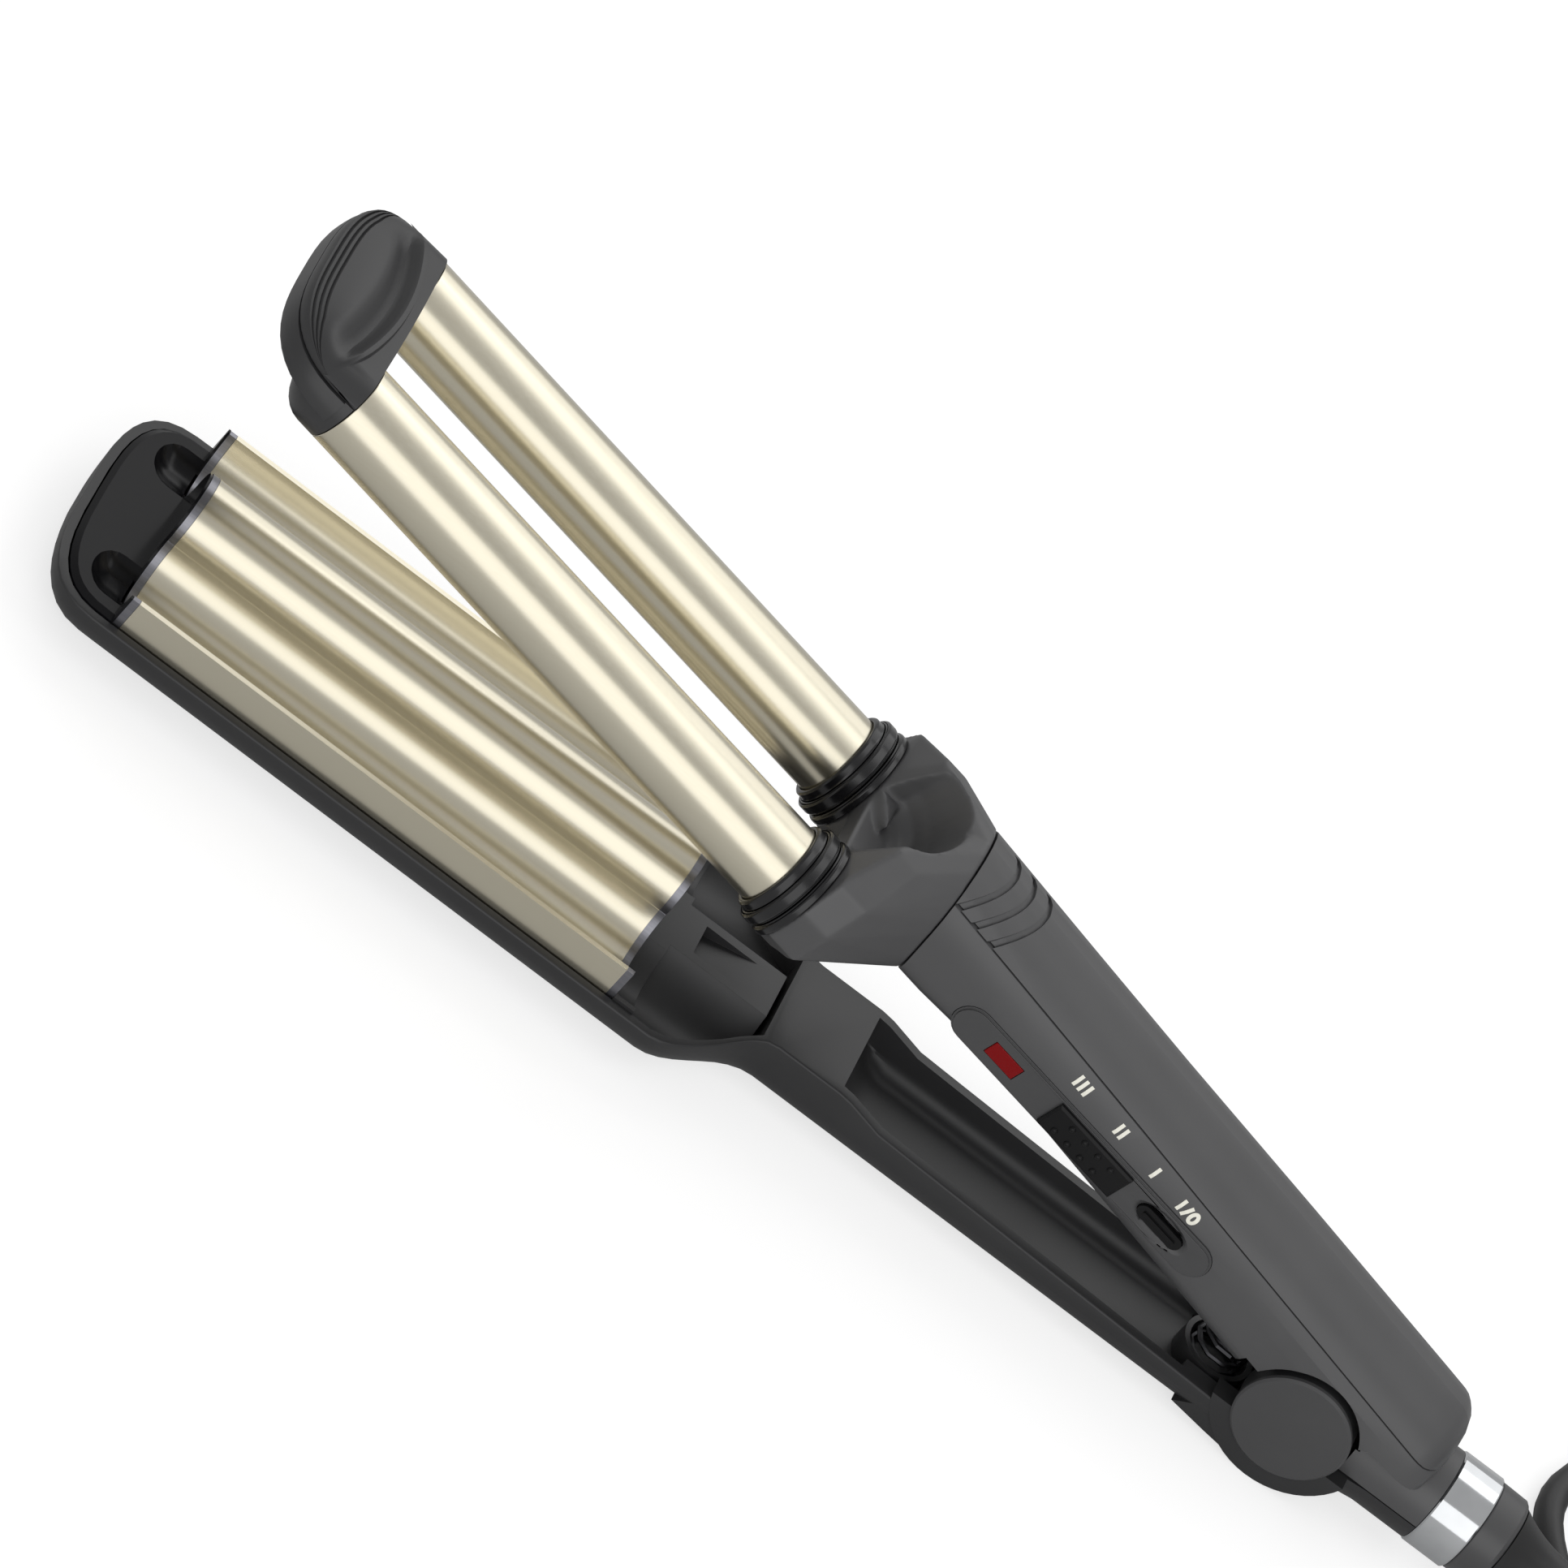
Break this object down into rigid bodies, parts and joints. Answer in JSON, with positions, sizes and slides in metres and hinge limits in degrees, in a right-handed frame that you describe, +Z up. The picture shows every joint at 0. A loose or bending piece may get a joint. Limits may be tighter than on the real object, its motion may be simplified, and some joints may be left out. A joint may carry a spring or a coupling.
{
  "type": "hair crimper",
  "caption": "Deep-wave hair crimper: two heated barrels on a sprung upper arm close into a W-shaped wave plate on the lower arm, with heat selector, power button and swivel cord.",
  "frame": {"origin": "middle of the footprint of the resting appliance, on the supporting surface, without the cord", "axes": "+X from the tips of the jaws towards the cord, +Y across the arms away from the control side, +Z up"},
  "size_m": [0.5829, 0.1068, 0.0972],
  "materials": {
    "shell_grey": "satin moulded ABS, charcoal",
    "shell_black": "fine-textured moulded PBT, near black",
    "liner_black": "glossy moulded PBT, black",
    "disc_grey": "satin moulded ABS, dark grey",
    "ceramic_gold": "ceramic-coated aluminium, champagne",
    "steel": "bare steel",
    "screw_steel": "black-zinc steel",
    "grey_strip": "coated sheet steel",
    "chrome": "bright chrome plating on ABS",
    "heater_ceramic": "fired ceramic",
    "mica": "mica board",
    "alloy": "die-cast aluminium",
    "bush": "sintered bronze",
    "red_lens": "tinted clear acrylic",
    "led": "clear epoxy",
    "pcb": "glass-epoxy board, green mask",
    "switch_black": "moulded nylon, black",
    "cord_black": "flexible PVC, black",
    "strap": "woven hook-and-loop tape",
    "pins": "nickel-plated brass"
  },
  "bodies": {
    "lower_arm": {"lower_shell": "shell_black", "nose_liner": "liner_black", "wave_plate": "ceramic_gold", "plate_end_strips": "grey_strip", "neck_liner": "shell_black", "plate_heaters": "heater_ceramic", "heater_carrier": "mica", "thermal_fuse": "steel", "jaw_screws": "screw_steel", "tail_cover": "shell_black", "chrome_ring": "chrome", "tail_collar": "liner_black", "hinge_pin": "steel", "hinge_covers": "disc_grey", "spring_cup": "shell_black", "arm_spring": "screw_steel", "mains_cord": "cord_black", "cord_coil": "cord_black", "cord_tie": "strap", "plug_body": "cord_black", "plug_pins": "pins"},
    "swivel_sleeve": {"cord_sleeve": "cord_black"},
    "selector": {"heat_selector": "switch_black"},
    "button": {"power_button": "switch_black"},
    "upper_arm": {"near_barrel": "ceramic_gold", "far_barrel": "ceramic_gold", "heater_clamps": "alloy", "barrel_heaters": "heater_ceramic", "barrel_collars": "liner_black", "tip_cap_base": "shell_black", "tip_cap_lid": "shell_black", "fork_head": "shell_grey", "handle_base": "shell_grey", "handle_top": "shell_grey", "handle_screws": "screw_steel", "hinge_bush": "bush", "control_panel": "shell_grey", "indicator_lens": "red_lens", "indicator_led": "led", "circuit_board": "pcb", "selector_switch": "switch_black", "power_switch": "switch_black"}
  },
  "joints": [
    {"name": "arm_hinge", "type": "hinge", "parent": "lower_arm", "child": "upper_arm", "pos_m": [0.10762, 0, 0.017], "axis": [0, 1, 0], "range_deg": [-12.6, 0], "stiffness_Nm_per_rad": 2.4, "springref_deg": 17.19, "deforming": ["arm_spring"]},
    {"name": "heat_selector_slide", "type": "slide", "parent": "upper_arm", "child": "selector", "axis": [0.9759, 0, -0.2181], "range_m": [-0.004, 0.004]},
    {"name": "power_button_push", "type": "slide", "parent": "upper_arm", "child": "button", "axis": [0, 1, 0], "range_m": [0, 0.0008], "stiffness_N_per_m": 800, "springref_m": -0.001},
    {"name": "cord_swivel", "type": "hinge", "parent": "lower_arm", "child": "swivel_sleeve", "pos_m": [0.15763, 0, 0.013], "axis": [1, 0, 0], "continuous": true}
  ]
}
